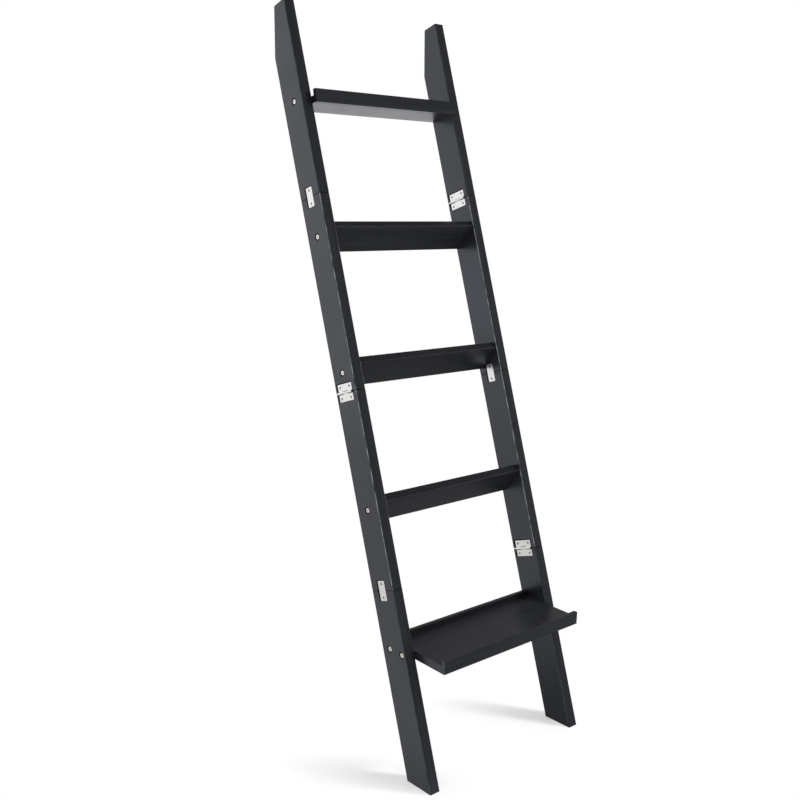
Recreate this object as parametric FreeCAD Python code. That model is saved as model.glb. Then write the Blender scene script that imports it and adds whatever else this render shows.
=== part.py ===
"""Leaning blanket ladder: two side rails, each made of four boards joined by hinges and
strap plates, three tilted hanging rungs, a narrow top tray and a deep bottom tray.

Units are millimetres. +Z is up, +Y points to the wall, +X is to the right as seen from the
front. The ladder stands in its leaning position with both feet on Z = 0. X = 0 is the middle
of the width; Y = 0 is the middle of the depth.
"""
import os
import math
import FreeCAD
import Part

V = FreeCAD.Vector

# ---- overall layout ---------------------------------------------------------------------
lean_deg = 16.7              # rails lean back from plumb by this much
rail_depth = 73.5            # front edge to back edge
rail_thickness = 27.0
clear_width = 423.0          # between the inner faces of the rails
edge_round = 2.0             # rounded long edges of the rails
end_break = 0.9              # small bevel where two rail boards meet
top_flat_depth = 40.0        # square top end that is left in front of the plumb wall cut

# ---- levels: distance up the rail and back from its front edge -----------------------------
hardware_behind_middle = 1.25 # rung bolts and hinges, behind the middle of the rail's depth
hardware_depth = rail_depth / 2.0 + hardware_behind_middle
rung_pitch = 306.5
lower_rung_height = 617.0
rung_heights = [lower_rung_height + k * rung_pitch for k in range(3)]
top_tray_height = lower_rung_height + 3 * rung_pitch
top_tray_before_middle = 4.75
top_tray_depth_line = rail_depth / 2.0 - top_tray_before_middle

# ---- rail boards: four equal lengths, with the middle joint just under the middle rung ------
sections_per_rail = 4
joint_below_middle_rung = 43.5
section_length = (rung_heights[1] - joint_below_middle_rung) / 2.0
rail_length = sections_per_rail * section_length

# ---- rungs --------------------------------------------------------------------------------
rung_board_width = 72.0
rung_board_thickness = 20.0
rung_tilt_deg = 36.0         # top edge of a rung leans to the front by this much
rung_round = 2.0

# ---- trays --------------------------------------------------------------------------------
top_tray_thickness = 16.0
bottom_tray_thickness = 18.0
tray_bolt_rise = 1.5         # tray bolts sit this far above the middle of the board
lip_height = 30.0
lip_thickness = 10.0
lip_round = 1.2
top_tray_tilt_deg = 9.0      # the top tray drops to the back by this much
top_tray_front = 39.0        # board reach in front of its bolts
top_tray_back = 37.0         # board reach behind its bolts
bottom_tray_tilt_deg = -1.9  # the bottom tray rises a little to the back
bottom_tray_bolt_height = 284.0
bottom_tray_bolt_line = 31.5 # middle of the bolt pair, level distance behind the rail front
bottom_tray_bolt_gap = 40.0
bottom_tray_reach = 11.5     # the front lip stands this far in front of the feet
bottom_tray_back_inset = 8.5  # the back lip stops this far short of the rail's back edge

# ---- hinges -------------------------------------------------------------------------------
hinge_width = 50.0           # along the pin
hinge_open_height = 39.0     # both leaves, folded flat
leaf_thickness = 1.5
knuckle_radius = 2.6
knuckle_proud = 1.2          # pin axis stands this far out of the wood face
knuckle_count = 3
knuckle_gap = 0.15
pin_radius = 1.3
pin_clearance = 0.05
pin_head_length = 5.0
leaf_clearance = 1.2         # between a leaf and the other leaf's knuckles
leaf_corner = 0.8
recess_back_margin = 4.6     # the recess is a little larger than the leaves, up and back
recess_up_margin = 2.6
recess_fit = 0.1
hinge_screw_rise = 12.5
hinge_screw_spread = 17.0

# ---- strap plates -------------------------------------------------------------------------
strap_height = 44.0
strap_width = 21.5
strap_thickness = 1.5
strap_screw_rise = 15.0
strap_back_margin = 4.4
strap_up_margin = 2.0

# ---- countersunk wood screws ----------------------------------------------------------------
screw_head_radius = 3.1
screw_shank_radius = 1.5
screw_length = 15.0
screw_slot_width = 0.9
screw_slot_depth = 0.9
screw_fit = 0.02
screw_tip_room = 1.0
screw_cross_reach = 2.0      # half length of the cross slot

# ---- rail bolts and threaded inserts ---------------------------------------------------------
bolt_head_radius = 5.5
bolt_head_height = 3.0
bolt_shank_radius = 3.0
bolt_reach = 24.0            # into the end of the rung or tray
bolt_socket_flats = 4.0
bolt_socket_depth = 2.0
bolt_recess_radius = 8.0
bolt_recess_depth = 3.8
bolt_hole_fit = 0.08
insert_radius = 4.6
insert_length = 16.0
insert_fit = 0.02
insert_setback = 0.5
bolt_tip_room = 3.0

# ---- dowels that hold the lips to the boards -------------------------------------------------
dowel_radius = 3.0
dowel_length = 24.0
dowel_in_lip = 6.5
dowel_fit = 0.02
dowel_count = 4
dowel_end_room = 0.5
dowel_edge_distance = 40.0

# ---- hidden dowels that stop a cross board from turning on its single bolt -------------------
locator_radius = 4.0
locator_length = 30.0
locator_in_rail = 10.0
locator_offset = 24.0        # from the bolt, along the width of the board
locator_fit = 0.02
locator_end_room = 0.5

# ---- derived ---------------------------------------------------------------------------------
lean = math.radians(lean_deg)
sin_a, cos_a, tan_a = math.sin(lean), math.cos(lean), math.tan(lean)
inner_x = clear_width / 2.0
outer_x = inner_x + rail_thickness
joint_heights = [section_length * k for k in (3, 2, 1)]        # top, middle, bottom joint
wall_y = rail_length * sin_a + top_flat_depth * cos_a          # the wall, from the front of the feet
wall_cut_run = (rail_depth - top_flat_depth) / sin_a           # plumb length of the wall cut
wall_cut_low = rail_length - wall_cut_run * cos_a              # where the cut ends on the back edge
bottom_tray_front_y = -bottom_tray_reach
bottom_tray_bolt_y = bottom_tray_bolt_height * tan_a + bottom_tray_bolt_line
bottom_tray_lip_rise = lip_height - bottom_tray_thickness / 2.0   # lip top above the board middle
bottom_tray_back_y = ((bottom_tray_bolt_height + bottom_tray_lip_rise) * tan_a
                      + rail_depth / cos_a - bottom_tray_back_inset)
centre_y = (bottom_tray_front_y + wall_y) / 2.0                # middle of the whole depth
half_open = hinge_open_height / 2.0


def plane_point(depth, height):
    """Rail coordinates (back from the front edge, up along the rail) to level Y and Z."""
    return depth * cos_a + height * sin_a, height * cos_a - depth * sin_a


def lean_back(shape):
    """Move a shape drawn with upright rails into the leaning, centred position."""
    out = shape.copy()
    out.rotate(V(0, 0, 0), V(1, 0, 0), -lean_deg)
    out.translate(V(0, -centre_y, 0))
    return out


def centred(shape):
    out = shape.copy()
    out.translate(V(0, -centre_y, 0))
    return out


def box(x0, x1, y0, y1, z0, z1):
    return Part.makeBox(x1 - x0, y1 - y0, z1 - z0, V(x0, y0, z0))


def prism(points, x0, x1):
    """Closed outline in the Y-Z plane, extruded along X from x0 to x1."""
    ring = [V(x0, y, z) for y, z in points]
    return Part.Face(Part.makePolygon(ring + ring[:1])).extrude(V(x1 - x0, 0, 0))


def edges_along(shape, direction):
    """Straight edges that run parallel to a direction."""
    found = []
    for edge in shape.Edges:
        a, b = edge.Vertexes[0].Point, edge.Vertexes[-1].Point
        run = b.sub(a)
        if run.Length > 1e-6 and run.cross(direction).Length / run.Length < 1e-6:
            found.append(edge)
    return found


def tilted_board(centre, reach_front, reach_back, low, high, tilt_deg, x0, x1, rounding):
    """Board along X. `tilt_deg` drops its back edge; reaches and heights are in its own plane."""
    t = math.radians(tilt_deg)
    back, up = (math.cos(t), -math.sin(t)), (math.sin(t), math.cos(t))
    corners = [(-reach_front, low), (reach_back, low), (reach_back, high), (-reach_front, high)]
    pts = [(centre[0] + b * back[0] + u * up[0], centre[1] + b * back[1] + u * up[1])
           for b, u in corners]
    body = prism(pts, x0, x1)
    if rounding:
        body = body.makeFillet(rounding, edges_along(body, V(1, 0, 0)))
    return body


def write(name, shape):
    if isinstance(shape, list):
        shape = Part.makeCompound(shape)
    shape.exportStep(os.path.join("parts", name + ".step"))


# ---- where every fastener goes ---------------------------------------------------------------

def bolt_places():
    """Y and Z of every rail bolt (the same on both rails), top to bottom."""
    rows = [plane_point(top_tray_depth_line, top_tray_height)]
    rows += [plane_point(hardware_depth, h) for h in reversed(rung_heights)]
    tilt = math.radians(bottom_tray_tilt_deg)
    for reach in (bottom_tray_bolt_gap / 2, -bottom_tray_bolt_gap / 2):
        rows.append((bottom_tray_bolt_y + reach * math.cos(tilt),
                     bottom_tray_bolt_height - reach * math.sin(tilt)))
    return rows


def below_bolts(point, tilt_deg):
    """Middle of a tray board's thickness under the point where its bolts sit."""
    t = math.radians(tilt_deg)
    return point[0] - tray_bolt_rise * math.sin(t), point[1] - tray_bolt_rise * math.cos(t)


def locator_places():
    """Y and Z of the dowel beside each single bolt, top tray first, then the rungs."""
    tilt = math.radians(top_tray_tilt_deg)
    tray = below_bolts(plane_point(top_tray_depth_line, top_tray_height), top_tray_tilt_deg)
    rows = [(tray[0] - locator_offset * math.cos(tilt), tray[1] + locator_offset * math.sin(tilt))]
    turn = math.radians(rung_tilt_deg)
    for height in reversed(rung_heights):
        y, z = plane_point(hardware_depth, height)
        rows.append((y + locator_offset * math.sin(turn), z - locator_offset * math.cos(turn)))
    return rows


def hinge_side(side, joint_index):
    """+1 when the hinge sits on the face that looks to +X. Top and bottom hinges are on the
    inner faces, the middle hinges on the outer faces; the straps are always opposite."""
    inner = -side
    return inner if joint_index != 1 else side


def face_x(side, normal):
    """X of the rail face with the given outward normal."""
    return side * inner_x if normal == -side else side * outer_x


def hinge_screws(height):
    return [(hardware_depth + a * hinge_screw_spread, height + b * hinge_screw_rise)
            for a in (-1, 1) for b in (-1, 1)]


def strap_screws(height):
    return [(rail_depth / 2.0, height + b * strap_screw_rise) for b in (-1, 1)]


# ---- small solids ----------------------------------------------------------------------------

def x_cylinder(radius, x0, x1, y, z):
    """Cylinder along X between x0 and x1."""
    return Part.makeCylinder(radius, abs(x1 - x0), V(min(x0, x1), y, z), V(1, 0, 0))


def screw(face, normal, y, z, grow=0.0):
    """Countersunk screw driven into a face at X = face; `grow` makes the matching hole."""
    inward = V(-normal, 0, 0)
    neck = screw_head_radius - screw_shank_radius
    start = V(face, y, z)
    head = Part.makeCone(screw_head_radius, screw_shank_radius, neck, start, inward)
    length = screw_length + (screw_tip_room if grow else 0.0)
    shank = Part.makeCylinder(screw_shank_radius + grow, length, start, inward)
    body = head.fuse(shank).removeSplitter()
    if not grow:
        x0, x1 = sorted((face, face - normal * screw_slot_depth))
        slim = screw_slot_width / 2
        for dy, dz in ((slim, screw_cross_reach), (screw_cross_reach, slim)):
            body = body.cut(box(x0, x1, y - dy, y + dy, z - dz, z + dz))
    return body


def bolt(side, y, z):
    """Round-headed bolt with a hexagon socket, through the rail into the cross board."""
    seat = side * (outer_x - bolt_recess_depth)
    outer = seat + side * bolt_head_height
    tip = side * (inner_x - bolt_reach)
    head = x_cylinder(bolt_head_radius, seat, outer, y, z)
    rim = [e for e in head.Edges if abs(e.CenterOfMass.x - outer) < 1e-6 and len(e.Vertexes) == 1]
    head = head.makeFillet(0.8, rim)
    body = head.fuse(x_cylinder(bolt_shank_radius, seat, tip, y, z))
    across = bolt_socket_flats / math.sqrt(3.0)
    ring = [(y + across * math.cos(math.radians(60 * k)), z + across * math.sin(math.radians(60 * k)))
            for k in range(6)]
    socket = prism(ring, outer - side * bolt_socket_depth, outer + side)
    return body.cut(socket).removeSplitter()


def bolt_hole(side, y, z):
    """Clearance hole and head recess in the rail."""
    seat = side * (outer_x - bolt_recess_depth)
    hole = x_cylinder(bolt_shank_radius + bolt_hole_fit, side * (inner_x - 1), seat, y, z)
    return hole.fuse(x_cylinder(bolt_recess_radius, seat, side * (outer_x + 1), y, z))


def insert(side, y, z, hole=False):
    """Threaded insert in the end of a cross board, or the stepped hole that takes it."""
    start = side * (inner_x - (0.0 if hole else insert_setback))
    end = side * (inner_x - insert_setback - insert_length)
    if hole:
        tip = side * (inner_x - bolt_reach - bolt_tip_room)
        mouth = x_cylinder(insert_radius + insert_fit, start, end, y, z)
        return mouth.fuse(x_cylinder(bolt_shank_radius + 0.3, start, tip, y, z))
    body = x_cylinder(insert_radius, start, end, y, z)
    return body.cut(x_cylinder(bolt_shank_radius + bolt_hole_fit, start, end, y, z))


def locator(side, y, z, hole=False):
    """Plain dowel between a rail and the end of a cross board, or the hole for it."""
    room, grow = (locator_end_room, locator_fit) if hole else (0.0, 0.0)
    outer = side * (inner_x + locator_in_rail + room)
    tip = side * (inner_x + locator_in_rail - locator_length - room)
    return x_cylinder(locator_radius + grow, outer, tip, y, z)


# ---- hinges and straps, drawn on upright rails -----------------------------------------------

def knuckle_spans():
    """Start and end of each knuckle along the pin."""
    pitch = hinge_width / knuckle_count
    first = hardware_depth - hinge_width / 2
    return [(first + k * pitch + (knuckle_gap / 2 if k else 0),
             first + (k + 1) * pitch - (knuckle_gap / 2 if k < knuckle_count - 1 else 0))
            for k in range(knuckle_count)]


def pin_axis(side, joint_index):
    normal = hinge_side(side, joint_index)
    return face_x(side, normal) + normal * knuckle_proud, joint_heights[joint_index]


def leaf(side, joint_index, upper):
    """One hinge leaf with its own knuckles, screw holes and pin bore."""
    normal = hinge_side(side, joint_index)
    face = face_x(side, normal)
    x0, x1 = sorted((face, face - normal * leaf_thickness))
    px, z = pin_axis(side, joint_index)
    way = 1 if upper else -1
    near, far = z + way * (knuckle_radius + leaf_clearance), z + way * half_open
    y0, y1 = hardware_depth - hinge_width / 2, hardware_depth + hinge_width / 2
    body = box(x0, x1, y0, y1, min(near, far), max(near, far))
    corners = [e for e in edges_along(body, V(1, 0, 0)) if abs(e.CenterOfMass.z - far) < 1e-6]
    body = body.makeFillet(leaf_corner, corners)
    spans = knuckle_spans()
    own = spans[0::2] if upper else spans[1::2]
    for a, b in own:
        web = box(x0, x1, a, b, min(z, near), max(z, near))
        barrel = Part.makeCylinder(knuckle_radius, b - a, V(px, a, z), V(0, 1, 0))
        body = body.fuse(web).fuse(barrel)
    bore = Part.makeCylinder(pin_radius + pin_clearance, hinge_width + 2, V(px, y0 - 1, z), V(0, 1, 0))
    body = body.cut(bore).removeSplitter()
    for y, sz in hinge_screws(z):
        if (sz - z) * way > 0:
            body = body.cut(screw(face, normal, y, sz, screw_fit))
    return body


def pin(side, joint_index):
    """Hinge pin with a round head that stands out behind the leaves."""
    px, z = pin_axis(side, joint_index)
    y0, y1 = hardware_depth - hinge_width / 2, hardware_depth + hinge_width / 2
    shaft = Part.makeCylinder(pin_radius, hinge_width, V(px, y0, z), V(0, 1, 0))
    head = Part.makeCylinder(knuckle_radius, pin_head_length, V(px, y1 + knuckle_gap, z), V(0, 1, 0))
    end = [e for e in head.Edges if len(e.Vertexes) == 1 and e.CenterOfMass.y > y1 + 1]
    head = head.makeFillet(1.6, end)
    neck = Part.makeCylinder(pin_radius, knuckle_gap, V(px, y1, z), V(0, 1, 0))
    return shaft.fuse(neck).fuse(head).removeSplitter()


def hinge_recess(side, joint_index):
    """Shallow pocket for the leaves plus a slot for the pin head."""
    normal = hinge_side(side, joint_index)
    face, z = face_x(side, normal), joint_heights[joint_index]
    x0, x1 = sorted((face + normal, face - normal * leaf_thickness))
    y0, y1 = hardware_depth - hinge_width / 2, hardware_depth + hinge_width / 2
    pocket = box(x0, x1, y0 - recess_fit, y1 + recess_back_margin,
                 z - half_open - recess_fit, z + half_open + recess_up_margin)
    half = knuckle_radius + 0.4
    slot = box(x0, x1, y1, y1 + knuckle_gap + pin_head_length + 0.6, z - half, z + half)
    cutter = pocket.fuse(slot)
    for y, sz in hinge_screws(z):
        cutter = cutter.fuse(screw(face, normal, y, sz, screw_fit))
    return cutter


def strap(side, joint_index):
    """Flat two-screw plate across the joint, on the face opposite the hinge."""
    normal = -hinge_side(side, joint_index)
    face, z = face_x(side, normal), joint_heights[joint_index]
    x0, x1 = sorted((face, face - normal * strap_thickness))
    mid = rail_depth / 2.0
    body = box(x0, x1, mid - strap_width / 2, mid + strap_width / 2,
               z - strap_height / 2, z + strap_height / 2)
    body = body.makeFillet(1.2, edges_along(body, V(1, 0, 0)))
    for y, sz in strap_screws(z):
        body = body.cut(screw(face, normal, y, sz, screw_fit))
    return body


def strap_recess(side, joint_index):
    normal = -hinge_side(side, joint_index)
    face, z = face_x(side, normal), joint_heights[joint_index]
    x0, x1 = sorted((face + normal, face - normal * strap_thickness))
    mid = rail_depth / 2.0
    cutter = box(x0, x1, mid - strap_width / 2 - recess_fit, mid + strap_width / 2 + strap_back_margin,
                 z - strap_height / 2 - recess_fit, z + strap_height / 2 + strap_up_margin)
    for y, sz in strap_screws(z):
        cutter = cutter.fuse(screw(face, normal, y, sz, screw_fit))
    return cutter


# ---- rails -----------------------------------------------------------------------------------

def section_outline(index):
    """Outline of one rail board, 0 at the foot: (back from the front edge, up the rail)."""
    low, high = index * section_length, (index + 1) * section_length
    bottom = [(0, low), (rail_depth, low + (rail_depth * tan_a if index == 0 else 0))]
    if index == sections_per_rail - 1:
        return bottom + [(rail_depth, wall_cut_low), (top_flat_depth, high), (0, high)]
    return bottom + [(rail_depth, high), (0, high)]


def section_blank(side, index):
    x0, x1 = sorted((side * inner_x, side * outer_x))
    body = prism(section_outline(index), x0, x1)
    body = body.makeFillet(edge_round, edges_along(body, V(0, 0, 1)))
    meet = []
    if index > 0:
        meet.append(index * section_length)
    if index < sections_per_rail - 1:
        meet.append((index + 1) * section_length)
    for z in meet:
        rim = [e for e in body.Edges if all(abs(v.Z - z) < 1e-6 for v in e.Vertexes)]
        body = body.makeChamfer(end_break, rim)
    return body


def rail_section(side, index):
    """Finished rail board in its leaning place."""
    body = section_blank(side, index)
    for joint_index, z in enumerate(joint_heights):
        if index * section_length <= z <= (index + 1) * section_length:
            body = body.cut(hinge_recess(side, joint_index)).cut(strap_recess(side, joint_index))
    body = lean_back(body)
    low = plane_point(0, index * section_length)[1] - rail_depth
    high = plane_point(0, (index + 1) * section_length)[1] + rail_depth
    for y, z in bolt_places():
        if low < z < high:
            body = body.cut(centred(bolt_hole(side, y, z)))
    for y, z in locator_places():
        if low < z < high:
            body = body.cut(centred(locator(side, y, z, hole=True)))
    return body


# ---- cross boards ----------------------------------------------------------------------------

def drill_ends(body, bolts, locators=()):
    """Insert holes and dowel holes in both ends of a cross board."""
    for side in (-1, 1):
        for y, z in bolts:
            body = body.cut(insert(side, y, z, hole=True))
        for y, z in locators:
            body = body.cut(locator(side, y, z, hole=True))
    return body


def rung(height, locator_place):
    centre = plane_point(hardware_depth, height)
    half_t, half_w = rung_board_thickness / 2, rung_board_width / 2
    body = tilted_board(centre, half_t, half_t, -half_w, half_w, -rung_tilt_deg,
                        -inner_x, inner_x, rung_round)
    return centred(drill_ends(body, [centre], [locator_place]))


def tray_frames():
    """Middle point, tilt, board reaches and board thickness of the two trays."""
    top = (below_bolts(plane_point(top_tray_depth_line, top_tray_height), top_tray_tilt_deg),
           top_tray_tilt_deg, top_tray_front, top_tray_back, top_tray_thickness)
    middle = below_bolts((bottom_tray_bolt_y, bottom_tray_bolt_height), bottom_tray_tilt_deg)
    t = math.radians(bottom_tray_tilt_deg)
    # the foremost point of the tilted front lip is on its rounded top corner
    corner_y = middle[0] + (bottom_tray_lip_rise - lip_round) * math.sin(t)
    front = (corner_y - lip_round - bottom_tray_front_y) / math.cos(t) + lip_round - lip_thickness
    back = (bottom_tray_back_y - middle[0]) / math.cos(t) - lip_thickness
    return top, (middle, bottom_tray_tilt_deg, front, back, bottom_tray_thickness)


def lip_frames():
    """(name, tray frame, which end) of the three lips."""
    top, bottom = tray_frames()
    return [("top_tray_front_lip", top, -1),
            ("bottom_tray_front_lip", bottom, -1),
            ("bottom_tray_back_lip", bottom, 1)]


def lip(frame, end):
    centre, tilt, front, back, thickness = frame
    low = -thickness / 2
    if end < 0:
        reach = (front + lip_thickness, -front)
    else:
        reach = (-back, back + lip_thickness)
    return tilted_board(centre, reach[0], reach[1], low, low + lip_height, tilt,
                        -inner_x, inner_x, lip_round)


def lip_dowels(frame, end, hole=False):
    """Dowels across the joint between a board and its lip, or the holes for them."""
    centre, tilt, front, back, thickness = frame
    t = math.radians(tilt)
    out_way = V(0, end * math.cos(t), -end * math.sin(t))
    reach = back if end > 0 else front
    joint = V(0, centre[0], centre[1]) + out_way * reach
    room = dowel_end_room if hole else 0.0
    start = joint + out_way * (dowel_in_lip + room)
    span = clear_width / 2 - dowel_edge_distance
    made = []
    for k in range(dowel_count):
        x = -span + 2 * span * k / (dowel_count - 1)
        peg = Part.makeCylinder(dowel_radius + (dowel_fit if hole else 0), dowel_length + 2 * room,
                                V(x, start.y, start.z), out_way * -1)
        made.append(peg)
    return made


def cut_all(body, cutters):
    for cutter in cutters:
        body = body.cut(cutter)
    return body


def tray_board(frame, ends, bolts, locators=()):
    centre, tilt, front, back, thickness = frame
    half = thickness / 2
    body = tilted_board(centre, front, back, -half, half, tilt, -inner_x, inner_x, 0)
    for end in ends:
        body = cut_all(body, lip_dowels(frame, end, hole=True))
    return centred(drill_ends(body, bolts, locators))


# ---- write everything ------------------------------------------------------------------------

SIDES = (("left", -1), ("right", 1))
SECTIONS = ("foot", "lower", "upper", "top")
JOINTS = ("top", "middle", "bottom")


def main():
    os.makedirs("parts", exist_ok=True)
    for side_name, side in SIDES:
        for index, section in enumerate(SECTIONS):
            write("%s_rail_%s_section" % (side_name, section), rail_section(side, index))
    places, pegs = bolt_places(), locator_places()
    names = ("lower_rung", "middle_rung", "upper_rung")
    for name, height, peg in zip(names, rung_heights, reversed(pegs)):
        write(name, rung(height, peg))

    top, bottom = tray_frames()
    write("top_tray_board", tray_board(top, (-1,), places[:1], pegs[:1]))
    write("bottom_tray_board", tray_board(bottom, (-1, 1), places[-2:]))
    dowels = []
    for name, frame, end in lip_frames():
        write(name, centred(cut_all(lip(frame, end), lip_dowels(frame, end, hole=True))))
        dowels += [centred(d) for d in lip_dowels(frame, end)]
    write("lip_dowels", dowels)

    hinge_fasteners, strap_fasteners = [], []
    for side_name, side in SIDES:
        for j, joint in enumerate(JOINTS):
            stem = "%s_%s" % (side_name, joint)
            write(stem + "_hinge_upper_leaf", lean_back(leaf(side, j, True)))
            write(stem + "_hinge_lower_leaf", lean_back(leaf(side, j, False)))
            write(stem + "_hinge_pin", lean_back(pin(side, j)))
            write(stem + "_strap_plate", lean_back(strap(side, j)))
            normal, z = hinge_side(side, j), joint_heights[j]
            for y, sz in hinge_screws(z):
                hinge_fasteners.append(lean_back(screw(face_x(side, normal), normal, y, sz)))
            for y, sz in strap_screws(z):
                strap_fasteners.append(lean_back(screw(face_x(side, -normal), -normal, y, sz)))
    write("hinge_screws", hinge_fasteners)
    write("strap_screws", strap_fasteners)
    write("rail_bolts", [centred(bolt(side, y, z)) for _, side in SIDES for y, z in places])
    write("locating_dowels", [centred(locator(side, y, z)) for _, side in SIDES for y, z in pegs])
    write("threaded_inserts", [centred(insert(side, y, z)) for _, side in SIDES for y, z in places])


main()
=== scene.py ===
# %% [markdown]
# # A leaning blanket ladder in black satin paint
#
# The ladder is made of painted boards: two side rails of four boards each, three flat rungs, a
# narrow tray near the top and a deep tray near the bottom. Zinc-plated hinges and strap plates join
# the rail boards, and brass-plated bolts hold the rungs and trays. All of these pieces arrive at
# their real size, so this lesson is about finishes, light and camera: how a nearly black object is
# made to read as painted wood, with its edges, its faces and its metal all visible against white.

import math

import bpy
from mathutils import Matrix, Vector


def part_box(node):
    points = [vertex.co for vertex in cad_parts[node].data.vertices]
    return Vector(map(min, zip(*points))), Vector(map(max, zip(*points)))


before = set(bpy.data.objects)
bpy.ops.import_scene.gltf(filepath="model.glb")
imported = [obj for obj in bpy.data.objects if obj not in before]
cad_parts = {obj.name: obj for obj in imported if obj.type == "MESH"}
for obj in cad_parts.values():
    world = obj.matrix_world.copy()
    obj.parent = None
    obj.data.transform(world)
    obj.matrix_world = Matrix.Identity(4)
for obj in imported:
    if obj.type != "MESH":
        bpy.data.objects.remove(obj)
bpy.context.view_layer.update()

# %% [markdown]
# ## Camera
#
# The picture was taken from the front left, a little above the middle of the ladder, looking
# slightly down. The place and the angles below were solved from the straight edges of both rails.
# The focal length was solved in pixels of an 800 pixel wide picture, so it is turned into a lens
# length with the width of the sensor. A camera can also be aimed by an empty and a Track To
# constraint. A matrix made from the three axes was chosen because it also holds the small roll.

# %% Camera axes from azimuth, elevation and roll
picture_width = 800
sensor_width_mm = 36.0
focal_pixels = 1003.4
camera_place = Vector((-1.551, -1.7099, 1.2099))
camera_azimuth = math.radians(40.29)
camera_elevation = math.radians(-10.30)
camera_roll = math.radians(0.18)


def camera_axes(azimuth, elevation, roll):
    """Right, up and forward directions; azimuth turns from +Y towards +X."""
    forward = Vector((math.sin(azimuth) * math.cos(elevation),
                      math.cos(azimuth) * math.cos(elevation),
                      math.sin(elevation)))
    level = Vector((math.cos(azimuth), -math.sin(azimuth), 0.0))
    above = level.cross(forward)
    right = level * math.cos(roll) + above * math.sin(roll)
    up = above * math.cos(roll) - level * math.sin(roll)
    return right, up, forward


# %% Place the camera
right, up, forward = camera_axes(camera_azimuth, camera_elevation, camera_roll)
camera_data = bpy.data.cameras.new("camera")
camera_data.sensor_width = sensor_width_mm
camera_data.lens = focal_pixels / picture_width * sensor_width_mm
camera = bpy.data.objects.new("camera", camera_data)
bpy.context.scene.collection.objects.link(camera)
axes = Matrix((right, up, -forward)).transposed().to_4x4()
camera.matrix_world = Matrix.Translation(camera_place) @ axes
bpy.context.scene.camera = camera
print("lens:", round(camera_data.lens, 2), "mm")

# %% [markdown]
# ## Node helpers
#
# Every finish below is a small network of shader nodes. It could be wired up node by node in the
# shader editor. Here short helpers do that, so that each cell reads as a recipe: one starts a
# material with its Principled shader, one adds a node and gives each of its inputs a plain value or
# a link, and one makes the sockets of a node group. The second cell names the four nodes that the
# recipes use most: a pattern that is moved or turned, a noise, a change of range, and a sum.

# %% Materials, nodes and groups
FLOAT = "NodeSocketFloat"
VECTOR = "NodeSocketVector"


def new_material(name, **settings):
    """A material with a Principled shader whose plain values are set on its own sockets."""
    material = bpy.data.materials.new(name)
    material.use_nodes = True
    shader = material.node_tree.nodes["Principled BSDF"]
    for socket, value in settings.items():
        shader.inputs[socket.replace("_", " ")].default_value = value
    return material, material.node_tree, shader


def add_node(tree, kind, inputs=None, **settings):
    """A node with its settings; an input gets a plain value, or a link from another socket."""
    node = tree.nodes.new(kind)
    for setting, value in settings.items():
        setattr(node, setting, value)
    for socket, value in (inputs or {}).items():
        if isinstance(value, bpy.types.NodeSocket):
            tree.links.new(value, node.inputs[socket])
        else:
            node.inputs[socket].default_value = value
    return node


def new_group(name, inputs, outputs):
    """An empty node group with number or direction sockets."""
    tree = bpy.data.node_groups.new(name, "ShaderNodeTree")
    for socket, kind in inputs:
        tree.interface.new_socket(socket, in_out="INPUT", socket_type=kind)
    for socket, kind in outputs:
        tree.interface.new_socket(socket, in_out="OUTPUT", socket_type=kind)
    return tree, tree.nodes.new("NodeGroupInput"), tree.nodes.new("NodeGroupOutput")


# %% Patterns, noise, ranges and sums


def mapped(tree, place, kind="POINT", **change):
    """Mapping node: moves, turns or stretches the pattern that reads this place."""
    node = add_node(tree, "ShaderNodeMapping", {"Vector": place, **change}, vector_type=kind)
    return node.outputs["Vector"]


def noise(tree, place, per_metre, detail=2.0, roughness=0.5):
    """Noise with about this many lumps to the metre."""
    node = add_node(tree, "ShaderNodeTexNoise", {"Vector": place, "Scale": per_metre,
                                                 "Detail": detail, "Roughness": roughness})
    return node.outputs["Fac"]


def remap(tree, source, before, after=(0.0, 1.0)):
    """Map Range node: the range before becomes the range after, and nothing leaves it."""
    node = add_node(tree, "ShaderNodeMapRange",
                    {"Value": source, "From Min": before[0], "From Max": before[1],
                     "To Min": after[0], "To Max": after[1]})
    return node.outputs["Result"]


def combine(tree, operation, *values):
    """Math node on one or two numbers or sockets."""
    node = add_node(tree, "ShaderNodeMath", dict(enumerate(values)), operation=operation)
    return node.outputs[0]


# %% [markdown]
# ## Black satin paint
#
# The boards are sprayed with a nearly black, slightly cool satin paint. Up close three things show.
# The wood's long grain telegraphs through the film as very fine ridges, the sprayed film itself has
# a soft orange peel, and the gloss differs a little from place to place. The grain follows the
# board, so its pattern is drawn out along the board's length. Rails and cross boards run in
# different directions, so each material turns the pattern first and hands it to the group. A
# painted image could do the same, but procedural noise has no seams and works on every piece.

# %% Group: paint over wood
grain_drawn_out = (1.0, 1.0, 0.035)
# lumps to the metre
fine_ridges = 520.0
broad_ridges = 90.0
peel_bumps = 420.0
gloss_clouds = 9.0
# noise runs from 0 to 1, but nearly all of it lies in these ranges
middle_of_noise = (0.35, 0.65)
most_of_noise = (0.3, 0.7)


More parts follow.
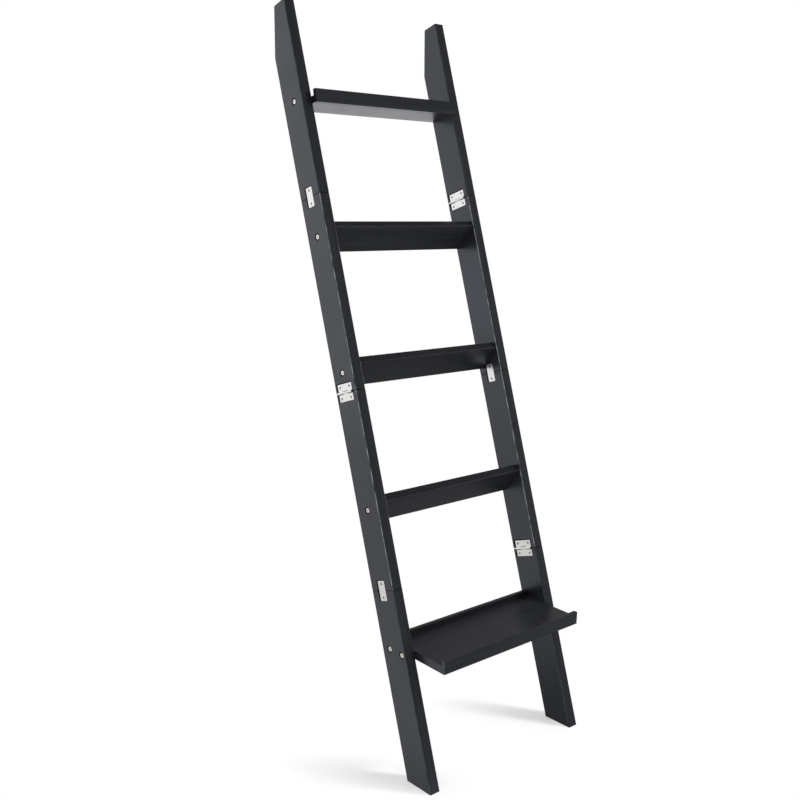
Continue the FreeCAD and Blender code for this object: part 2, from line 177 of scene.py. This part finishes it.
def build_paint_group():
    tree, given, result = new_group(
        "paint over wood",
        [("Pattern", VECTOR), ("Grain", FLOAT), ("Peel", FLOAT), ("Gloss Change", FLOAT)],
        [("Height", FLOAT), ("Roughness Shift", FLOAT), ("Shade", FLOAT)])
    link = tree.links.new
    pattern = given.outputs["Pattern"]
    long_pattern = mapped(tree, pattern, Scale=grain_drawn_out)
    fine = noise(tree, long_pattern, fine_ridges, detail=3.0, roughness=0.6)
    broad = noise(tree, long_pattern, broad_ridges, detail=3.0, roughness=0.55)
    peel = noise(tree, pattern, peel_bumps, detail=1.0)
    cloud = noise(tree, pattern, gloss_clouds)
    grain = combine(tree, "MULTIPLY", combine(tree, "ADD", fine, broad), given.outputs["Grain"])
    film = combine(tree, "MULTIPLY", peel, given.outputs["Peel"])
    link(combine(tree, "ADD", grain, film), result.inputs["Height"])
    shift = combine(tree, "ADD", remap(tree, cloud, middle_of_noise, (-1.0, 1.0)),
                    remap(tree, broad, middle_of_noise, (-0.5, 0.5)))
    shift = combine(tree, "MULTIPLY", shift, given.outputs["Gloss Change"])
    link(shift, result.inputs["Roughness Shift"])
    link(remap(tree, broad, most_of_noise), result.inputs["Shade"])
    return tree


paint_group = build_paint_group()
print("group:", paint_group.name, len(paint_group.nodes), "nodes")

# %% [markdown]
# ## Painted edge highlights
#
# The rounded long edges of the boards catch a fine glint of light. Here that glint is a painted
# highlight: each edge gets a fine pale line in its colour, which breaks up along its length, and a
# little less roughness. The line has to sit on the rounding only. A Pointiness value would also
# find it, but it depends on how finely a mesh is cut up. The rounding is found by its direction
# instead: there the surface looks halfway between the two faces that it joins, so its normal has a
# large part along both of them. The group takes the board's two face directions and gives a mask
# that is 0 on the faces and rises to 1 on the rounding where the painted line is whole.

# %% Group: rounded edge mask
# the smaller part of the normal, from where the face ends to where the rounding is full
onto_rounding = (0.18, 0.45)
# the noise that breaks the line, from where it is gone to where it is whole
line_comes_back = (0.36, 0.60)
breaks_drawn_out = (1.0, 1.0, 0.16)
edge_breaks = 240.0


def part_along(tree, normal, face):
    """How much of the normal points along a face's direction, either way."""
    along = add_node(tree, "ShaderNodeVectorMath", {0: normal, 1: face}, operation="DOT_PRODUCT")
    return combine(tree, "ABSOLUTE", along.outputs["Value"])


def build_edge_group():
    tree, given, result = new_group(
        "rounded edge mask",
        [("Pattern", VECTOR), ("First Face", VECTOR), ("Second Face", VECTOR)],
        [("Mask", FLOAT)])
    normal = add_node(tree, "ShaderNodeNewGeometry").outputs["Normal"]
    lesser = combine(tree, "MINIMUM", part_along(tree, normal, given.outputs["First Face"]),
                     part_along(tree, normal, given.outputs["Second Face"]))
    rounding = remap(tree, lesser, onto_rounding)
    long_pattern = mapped(tree, given.outputs["Pattern"], Scale=breaks_drawn_out)
    breaks = noise(tree, long_pattern, edge_breaks, detail=3.0, roughness=0.6)
    broken = combine(tree, "MULTIPLY", rounding, remap(tree, breaks, line_comes_back))
    tree.links.new(broken, result.inputs["Mask"])
    return tree


edge_group = build_edge_group()
print("group:", edge_group.name, len(edge_group.nodes), "nodes")

# %% [markdown]
# ## Painted shade in cuts and joints
#
# The bolt holes and the shallow beds of the hinges and strap plates are cut after painting, and the
# board ends meet in a fine open joint. The faces of such a narrow cut are bare wood, and the shade
# that falls in it is painted into their colour as almost black, so it frames each bright fitting
# with a dark line. A second material could be given to those faces, but a rail board is one piece
# with one finish. So the group measures how deep a point lies under the board's four long faces:
# more than two thirds of a millimetre means that it is in a cut. The mask also drives Metallic,
# because a metal has no clear film over its colour, so the painted shade stays dark from every
# side.
# The rails are measured in board coordinates, with Z from the foot up along the front face and Y
# into the depth of the board.

# %% Group: painted shade in cuts and joints
rail_lean = math.radians(16.7)
rail_depth = 0.0735
rail_inner_face = 0.2115
rail_outer_face = 0.2385
rail_board_length = 0.440
# ranges in metres, over which the mask comes or goes
into_cut = (0.00065, 0.0009)
above_level_foot = (0.03, 0.04)
below_slanted_top = (1.60, 1.61)
joint_width = (0.0004, 0.0010)
joint_strength = 0.75


def build_cut_group():
    tree, given, result = new_group("painted cut shade mask", [("Board Place", VECTOR)], [("Mask", FLOAT)])
    split = add_node(tree, "ShaderNodeSeparateXYZ", {"Vector": given.outputs["Board Place"]})
    x, y, z = (split.outputs[axis] for axis in "XYZ")
    sideways = combine(tree, "ABSOLUTE", x)
    under_sides = combine(tree, "MINIMUM", combine(tree, "SUBTRACT", sideways, rail_inner_face),
                          combine(tree, "SUBTRACT", rail_outer_face, sideways))
    under_front_and_back = combine(tree, "MINIMUM", y, combine(tree, "SUBTRACT", rail_depth, y))
    deep = remap(tree, combine(tree, "MINIMUM", under_sides, under_front_and_back), into_cut)
    # the open joints get a painted shade line: the distance to the nearest whole number of board
    # lengths
    joint = combine(tree, "PINGPONG", z, rail_board_length / 2)
    seam = remap(tree, joint, joint_width, (joint_strength, 0.0))
    # the level foot and the slanted top are painted, so the mask stops short of both
    between = combine(tree, "MULTIPLY", remap(tree, z, above_level_foot),
                      remap(tree, z, below_slanted_top, (1.0, 0.0)))
    cut_shade = combine(tree, "MULTIPLY", combine(tree, "MAXIMUM", deep, seam), between)
    tree.links.new(cut_shade, result.inputs["Mask"])
    return tree


cut_shade_group = build_cut_group()
print("group:", cut_shade_group.name, len(cut_shade_group.nodes), "nodes")

# %% [markdown]
# ## One paint for each direction of board
#
# All paints use the same colours and the first two groups, and only the rails have the painted
# shade of the cuts and joints. They differ in the Mapping node that turns the object's coordinates
# so that Z runs along the board, and in the two directions that the board's faces look to: the
# rails lean back from plumb, the rungs are tilted, and the trays lie nearly level. One paint with a
# mask for each direction could do it, but a short paint for each board is easier to read. A bump of
# a few hundredths of a millimetre is enough, because satin paint shows relief mostly in how the
# highlight breaks up. The rails show more of their grain than the cross boards. The two middle
# boards of each rail get the full painted edge highlight, and the others only a trace of it.

# %% Colour blends and relief


def blend(tree, mask, first, second):
    """Mix node: the first colour where the mask is 0, and the second where it is 1."""
    node = add_node(tree, "ShaderNodeMix", {0: mask, 6: first, 7: second}, data_type="RGBA")
    return node.outputs[2]


def add_relief(tree, shader, height, strength, depth):
    """Bump node on the shader's normal; the depth is in metres."""
    bump = add_node(tree, "ShaderNodeBump",
                    {"Height": height, "Strength": strength, "Distance": depth})
    tree.links.new(bump.outputs["Normal"], shader.inputs["Normal"])


def turned_pattern(tree, **change):
    """The object's own coordinates, moved, turned or stretched for a pattern."""
    return mapped(tree, add_node(tree, "ShaderNodeTexCoord").outputs["Object"], **change)


# %% Paint recipe
paint_dark = (0.0092, 0.0095, 0.0108, 1.0)
paint_light = (0.0158, 0.0163, 0.0182, 1.0)
# painted highlight: a pale line on the rounded edges that stands in for the glint of light there
painted_edge_highlight = (0.30, 0.305, 0.315, 1.0)
# painted shade: this near-black colour on the bare wood of cuts and joints stands in for the shade
# inside them
bare_wood_and_painted_shade = (0.010, 0.0075, 0.0065, 1.0)
paint_ior = 1.71
cool_gloss = (0.80, 0.86, 1.0, 1.0)
paint_roughness = 0.33
roughness_change = 0.05
edge_line_roughness_drop = 0.10
orange_peel = 0.45
relief_strength = 0.25
relief_depth = 0.00012


def painted(name, turn, faces, highlight_strength, grain, start=(0.0, 0.0, 0.0), shade_in_cuts=False):
    material, tree, shader = new_material(name, IOR=paint_ior, Specular_Tint=cool_gloss)
    link = tree.links.new
    pattern = turned_pattern(tree, Location=start, Rotation=turn)
    paint = add_node(tree, "ShaderNodeGroup",
                     {"Pattern": pattern, "Grain": grain, "Peel": orange_peel,
                      "Gloss Change": roughness_change * grain}, node_tree=paint_group)
    edge = add_node(tree, "ShaderNodeGroup",
                    {"Pattern": pattern, "First Face": faces[0], "Second Face": faces[1]},
                    node_tree=edge_group)
    # painted highlight along the rounded edges, with a little less roughness under it
    edge_highlight = combine(tree, "MULTIPLY", edge.outputs["Mask"], highlight_strength)
    colour = blend(tree, paint.outputs["Shade"], paint_dark, paint_light)
    colour = blend(tree, edge_highlight, colour, painted_edge_highlight)
    roughness = combine(tree, "ADD", paint.outputs["Roughness Shift"], paint_roughness)
    roughness = combine(tree, "SUBTRACT", roughness,
                        combine(tree, "MULTIPLY", edge_highlight, edge_line_roughness_drop))
    # painted shade in the rails' cuts and joints: near-black colour, full roughness, and Metallic
    # so that no reflection lightens it
    if shade_in_cuts:
        cut_shade = add_node(tree, "ShaderNodeGroup", {"Board Place": pattern}, node_tree=cut_shade_group)
        colour = blend(tree, cut_shade.outputs["Mask"], colour, bare_wood_and_painted_shade)
        roughness = combine(tree, "MAXIMUM", roughness, cut_shade.outputs["Mask"])
        link(cut_shade.outputs["Mask"], shader.inputs["Metallic"])
    link(colour, shader.inputs["Base Color"])
    link(roughness, shader.inputs["Roughness"])
    add_relief(tree, shader, paint.outputs["Height"], relief_strength, relief_depth)
    return material


# %% Directions of the boards
rung_tilt = math.radians(-36.0)
top_tray_tilt = math.radians(9.0)
bottom_tray_tilt = math.radians(-1.9)
foot_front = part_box("left_rail_foot_section")[0][1]
rail_start = (0.0, -foot_front * math.cos(rail_lean), -foot_front * math.sin(rail_lean))
along_rail = (rail_lean, 0.0, 0.0)
along_cross_board = (0.0, math.radians(90.0), 0.0)


def front_and_top(tilt):
    """Directions of a board's front and top faces; a positive tilt turns its front face up."""
    return (0.0, -math.cos(tilt), math.sin(tilt)), (0.0, math.sin(tilt), math.cos(tilt))


rail_faces = ((1.0, 0.0, 0.0), front_and_top(rail_lean)[0])
print("front of the foot:", round(foot_front, 4), "m")

# %% Paint for the rails


def rail_painted(name, highlight_strength):
    return painted(name, along_rail, rail_faces, highlight_strength, grain=0.9, start=rail_start, shade_in_cuts=True)


rail_paint = rail_painted("rail paint", highlight_strength=0.15)
highlighted_rail_paint = rail_painted("highlighted rail paint", highlight_strength=1.0)
print("paints:", rail_paint.name, "and", highlighted_rail_paint.name)

# %% Paint for the rungs and trays


def cross_painted(name, tilt):
    return painted(name, along_cross_board, front_and_top(tilt), highlight_strength=0.06, grain=0.35)


rung_paint = cross_painted("rung paint", rung_tilt)
top_tray_paint = cross_painted("top tray paint", top_tray_tilt)
bottom_tray_paint = cross_painted("bottom tray paint", bottom_tray_tilt)
print("paints:", rung_paint.name, "and", top_tray_paint.name, "and", bottom_tray_paint.name)

# %% [markdown]
# ## Zinc plate, steel pins and brass
#
# The hinges and strap plates are pressed from sheet and zinc plated, which leaves a pale, soft
# shine with faint rolling marks. The screws are plated too but duller. The pins are drawn wire and
# a little darker than the plates, and the bolts are plated in pale brass. The shader's Anisotropic
# value could draw out the highlights, but it shows no single marks. So one group makes the fine
# marks from drawn-out noise, and each metal sets its own colour and gloss.

# %% Group: plated metal
marks_drawn_out = (1.0, 0.08, 1.0)
rolling_marks = 2600.0
plating_clouds = 160.0


def build_plating_group():
    tree, given, result = new_group(
        "plating marks",
        [("Pattern", VECTOR), ("Roughness", FLOAT), ("Change", FLOAT)],
        [("Roughness", FLOAT), ("Height", FLOAT), ("Cloud", FLOAT)])
    link = tree.links.new
    pattern = given.outputs["Pattern"]
    marks = noise(tree, mapped(tree, pattern, Scale=marks_drawn_out), rolling_marks)
    cloud = noise(tree, pattern, plating_clouds)
    change = combine(tree, "MULTIPLY", remap(tree, cloud, most_of_noise, (-1.0, 1.0)),
                     given.outputs["Change"])
    link(combine(tree, "ADD", given.outputs["Roughness"], change), result.inputs["Roughness"])
    link(marks, result.inputs["Height"])
    link(cloud, result.inputs["Cloud"])
    return tree


plating_group = build_plating_group()
print("group:", plating_group.name, len(plating_group.nodes), "nodes")

# %% Metal recipe
marks_depth = 0.00005


def plated(name, dark, light, roughness, change, marks_strength):
    material, tree, shader = new_material(name, Metallic=1.0)
    link = tree.links.new
    marks = add_node(tree, "ShaderNodeGroup",
                     {"Pattern": turned_pattern(tree, Rotation=along_rail),
                      "Roughness": roughness, "Change": change}, node_tree=plating_group)
    colour = blend(tree, marks.outputs["Cloud"], (*dark, 1.0), (*light, 1.0))
    link(colour, shader.inputs["Base Color"])
    link(marks.outputs["Roughness"], shader.inputs["Roughness"])
    add_relief(tree, shader, marks.outputs["Height"], marks_strength, marks_depth)
    return material


# %% Metal materials
zinc = plated("zinc plate", dark=(0.84, 0.84, 0.83), light=(0.98, 0.98, 0.97),
              roughness=0.32, change=0.07, marks_strength=0.2)
wire = plated("steel wire", dark=(0.50, 0.50, 0.49), light=(0.66, 0.66, 0.64),
              roughness=0.28, change=0.05, marks_strength=0.1)
screw_zinc = plated("screw zinc", dark=(0.26, 0.26, 0.25), light=(0.52, 0.52, 0.51),
                    roughness=0.36, change=0.05, marks_strength=0.1)
brass = plated("pale brass", dark=(0.90, 0.86, 0.76), light=(0.98, 0.95, 0.87),
               roughness=0.30, change=0.05, marks_strength=0.1)
print("metals:", ", ".join(metal.name for metal in (zinc, wire, screw_zinc, brass)))

# %% [markdown]
# ## Bare wood for the hidden dowels
#
# The dowels sit inside the joints and never show, but whoever takes the ladder apart meets them.
# Rings could be added for their cut ends, but on so thin a dowel it is the long grain that shows.
# They get a pale beech colour with a stretched grain.

# %% Dowel wood
beech_dark = (0.52, 0.36, 0.20, 1.0)
beech_light = (0.70, 0.53, 0.33, 1.0)
beech_drawn_out = (0.08, 1.0, 1.0)
beech_grain = 700.0


def dowel_material():
    material, tree, shader = new_material("dowel wood", Roughness=0.62)
    grain = noise(tree, turned_pattern(tree, Scale=beech_drawn_out), beech_grain,
                  detail=3.0, roughness=0.6)
    tree.links.new(blend(tree, grain, beech_dark, beech_light), shader.inputs["Base Color"])
    add_relief(tree, shader, grain, strength=0.3, depth=0.0001)
    return material


dowel_wood = dowel_material()
print("wood:", dowel_wood.name)

# %% [markdown]
# ## Dress the pieces
#
# Each finish could be given by hand, piece by piece. Here each piece's name says what it is, so a
# short list of name endings picks the finish. The first entry that fits wins, and a piece that fits
# none stops the script.

# %% Give every piece its finish
finishes = [
    (("_lower_section", "_upper_section"), highlighted_rail_paint),
    (("_section",), rail_paint),
    (("_rung",), rung_paint),
    (("top_tray_board", "top_tray_front_lip"), top_tray_paint),
    (("_board", "_lip"), bottom_tray_paint),
    (("_leaf", "_strap_plate"), zinc),
    (("_hinge_pin",), wire),
    (("_screws", "threaded_inserts"), screw_zinc),
    (("rail_bolts",), brass),
    (("_dowels",), dowel_wood),
]


def finish_for(name):
    return next(material for endings, material in finishes if name.endswith(endings))


dressed = {}
for name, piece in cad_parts.items():
    finish = finish_for(name)
    dressed[finish.name] = dressed.get(finish.name, 0) + 1
    for slot in piece.material_slots:
        slot.material = finish
print("pieces in each finish:", dressed)

# %% [markdown]
# ## Floor
#
# The floor is a large pale sheet that merges with the white background. A sheet that is lit evenly
# would also catch the broad grey shadows of the rails and the tray. Only the short ones at the feet
# help the eye, so the sheet is plain white to the camera except in a long oval behind each foot.
# The ovals come from a Mapping node that turns and squeezes the floor's own coordinates. In a
# reflection the sheet has a brightness of its own, because satin black shows little but what it
# mirrors.

# %% Floor sheet
floor_size = 24.0
bpy.ops.object.select_all(action="DESELECT")
bpy.ops.mesh.primitive_plane_add(size=floor_size, location=(0.0, 0.0, 0.0))
floor = bpy.context.object
floor.name = "floor"
print("floor:", round(floor.dimensions.x, 2), "m wide")

# %% Floor as the camera sees it
plain_white = (1.0, 1.0, 1.0, 1.0)
shadow_turn = math.radians(124.0)
middle_of_foot = 0.05
middle_of_shadow = 0.07
oval_radii = (0.18, 0.060, 1.0)
# the fade to white is counted in radii, and starts from this share of white
oval_fade = (0.2, 1.4)
white_over_shadow = 0.30


def distance_in_oval(tree, place, foot):
    """Distance from the middle of a foot's shadow, counted in radii of its oval."""
    lowest, highest = foot
    middle = ((lowest[0] + highest[0]) / 2 + middle_of_shadow * math.cos(shadow_turn),
              lowest[1] + middle_of_foot + middle_of_shadow * math.sin(shadow_turn), 0.0)
    oval = mapped(tree, place, "TEXTURE", Location=middle, Rotation=(0.0, 0.0, shadow_turn),
                  Scale=oval_radii)
    away = add_node(tree, "ShaderNodeVectorMath", {0: oval}, operation="LENGTH")
    return away.outputs["Value"]


def seen_floor(tree, place):
    """The lit sheet in a long oval at each foot, and plain white further out."""
    ovals = [distance_in_oval(tree, place, foot)
             for foot in (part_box("left_rail_foot_section"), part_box("right_rail_foot_section"))]
    whiteness = remap(tree, combine(tree, "MINIMUM", *ovals), oval_fade, (white_over_shadow, 1.0))
    lit = add_node(tree, "ShaderNodeBsdfDiffuse", {"Color": plain_white})
    white = add_node(tree, "ShaderNodeEmission", {"Color": plain_white, "Strength": 1.0})
    seen = add_node(tree, "ShaderNodeMixShader",
                    {0: whiteness, 1: lit.outputs[0], 2: white.outputs[0]})
    return seen.outputs[0]


# %% Floor as a reflection sees it
# a brightness, a direction, and then ranges in metres with the brightness that each leads to
grey_level = 0.20
floor_left = (-0.90, 0.30)
left_rise, left_level = (-0.15, 0.35), 0.68
behind_rise, behind_level = (0.3, 3.6), 1.0
patch_from_left, patch_from_front, patch_level = (0.8, 1.8), (0.5, 2.0), 1.50
patch_far_right, patch_far_share = (2.2, 3.2), 0.70


def heading(tree, east, north, direction):
    """How far a place lies along a level direction."""
    return combine(tree, "ADD", combine(tree, "MULTIPLY", east, direction[0]),
                   combine(tree, "MULTIPLY", north, direction[1]))


def mirrored_floor(tree, place):
    """Grey in front, paler to the left and behind, and brightest in a patch behind on the right.

    The patch is what the underside of the top tray mirrors.
    """
    split = add_node(tree, "ShaderNodeSeparateXYZ", {"Vector": place})
    east, north = split.outputs["X"], split.outputs["Y"]
    left = remap(tree, heading(tree, east, north, floor_left), left_rise, (grey_level, left_level))
    behind = remap(tree, north, behind_rise, (grey_level, behind_level))
    patch = combine(tree, "MULTIPLY", remap(tree, east, patch_from_left, (0.0, patch_level)),
                    remap(tree, north, patch_from_front))
    patch = combine(tree, "MULTIPLY", patch,
                    remap(tree, east, patch_far_right, (1.0, patch_far_share)))
    level = combine(tree, "MAXIMUM", combine(tree, "MAXIMUM", left, behind), patch)
    return add_node(tree, "ShaderNodeEmission", {"Strength": level}).outputs[0]


# %% Floor material


def by_ray(tree, lit, mirrored, seen):
    """Choose by the ray that arrives: plain lighting, a reflection, or the camera."""
    rays = add_node(tree, "ShaderNodeLightPath")
    shiny = combine(tree, "MAXIMUM", rays.outputs["Is Glossy Ray"],
                    rays.outputs["Is Transmission Ray"])
    unseen = add_node(tree, "ShaderNodeMixShader", {0: shiny, 1: lit, 2: mirrored})
    chosen = add_node(tree, "ShaderNodeMixShader",
                      {0: rays.outputs["Is Camera Ray"], 1: unseen.outputs[0], 2: seen})
    return chosen.outputs[0]


def build_floor_material():
    material, tree, shader = new_material("pale floor", Base_Color=(0.90, 0.90, 0.90, 1.0),
                                          Roughness=0.9, Specular_IOR_Level=0.0)
    place = add_node(tree, "ShaderNodeTexCoord").outputs["Object"]
    surface = by_ray(tree, shader.outputs[0], mirrored_floor(tree, place), seen_floor(tree, place))
    tree.links.new(surface, tree.nodes["Material Output"].inputs["Surface"])
    return material


floor.data.materials.append(build_floor_material())
print("floor material:", floor.data.materials[0].name)

# %% [markdown]
# ## Light
#
# A black object shows its faces mainly by what they reflect, so the surroundings matter more than
# the lamps. A photographer hangs white panels round such a ladder, and so could this scene. The
# world does the same with fewer parts, because it can look different to each kind of ray. Seen by
# the camera it is plain white. Seen in a reflection it is a studio with a white wall at the back
# left that darkens upwards and to the far left, a white sweep low over the floor behind, and grey
# elsewhere. A soft lamp at the front right casts the short soft shadows at the feet.

# %% Surroundings as a reflection sees them
# a direction, and then ranges of the looking direction's own parts, which run from -1 to 1
wall_left = (-0.80, 0.60)
wall_spread = (0.10, 0.65)
wall_top, wall_top_level = (0.45, 0.80), 0.3
wall_far_left, wall_far_level = (-0.82, -0.52), 0.40
sweep_top = (0.10, 0.32)
sweep_side = (-0.25, 0.35)
rest_height, rest_low, rest_high = (0.30, 0.60), 0.19, 0.07


def studio_level(tree):
    """Brightness by direction; the world's Generated coordinates are that direction."""
    place = add_node(tree, "ShaderNodeTexCoord").outputs["Generated"]
    split = add_node(tree, "ShaderNodeSeparateXYZ", {"Vector": place})
    east, north, height = (split.outputs[axis] for axis in "XYZ")
    wall = remap(tree, heading(tree, east, north, wall_left), wall_spread)
    wall = combine(tree, "MULTIPLY", wall, remap(tree, height, wall_top, (1.0, wall_top_level)))
    wall = combine(tree, "MULTIPLY", wall,
                   remap(tree, east, wall_far_left, (wall_far_level, 1.0)))
    sweep = combine(tree, "MULTIPLY", remap(tree, height, sweep_top, (1.0, 0.0)),
                    remap(tree, north, sweep_side))
    rest = remap(tree, height, rest_height, (rest_low, rest_high))
    return combine(tree, "MAXIMUM", combine(tree, "MAXIMUM", wall, sweep), rest)


# %% World
light_level = 0.8
white_level = 1.0


def background(tree, strength):
    node = add_node(tree, "ShaderNodeBackground", {"Color": plain_white, "Strength": strength})
    return node.outputs[0]


def build_world():
    world = bpy.data.worlds.new("studio")
    world.use_nodes = True
    tree = world.node_tree
    tree.nodes.clear()
    surface = by_ray(tree, background(tree, light_level), background(tree, studio_level(tree)),
                     background(tree, white_level))
    add_node(tree, "ShaderNodeOutputWorld", {"Surface": surface})
    return world


bpy.context.scene.world = build_world()
print("world:", bpy.context.scene.world.name)

# %% Soft lamp
lamp_place = Vector((1.70, -1.85, 2.60))
lamp_aim = Vector((0.0, -0.1, 0.4))
lamp_size = 0.5
lamp_power = 60.0

lamp_data = bpy.data.lights.new("key", "AREA")
lamp_data.shape = "SQUARE"
lamp_data.size = lamp_size
lamp_data.energy = lamp_power
lamp = bpy.data.objects.new("key", lamp_data)
bpy.context.scene.collection.objects.link(lamp)
lamp.location = lamp_place
lamp.rotation_euler = (lamp_aim - lamp_place).to_track_quat("-Z", "Y").to_euler()
lamp.visible_glossy = False
print("lamp:", round((lamp_place - lamp_aim).length, 2), "m from its aim")

# %% [markdown]
# ## Hand over
#
# The Standard view shows each colour about as it was written. A filmic view would soften the
# bright end, and the white floor would turn grey.

# %% View settings
bpy.context.scene.view_settings.view_transform = "Standard"
print("view:", bpy.context.scene.view_settings.view_transform)
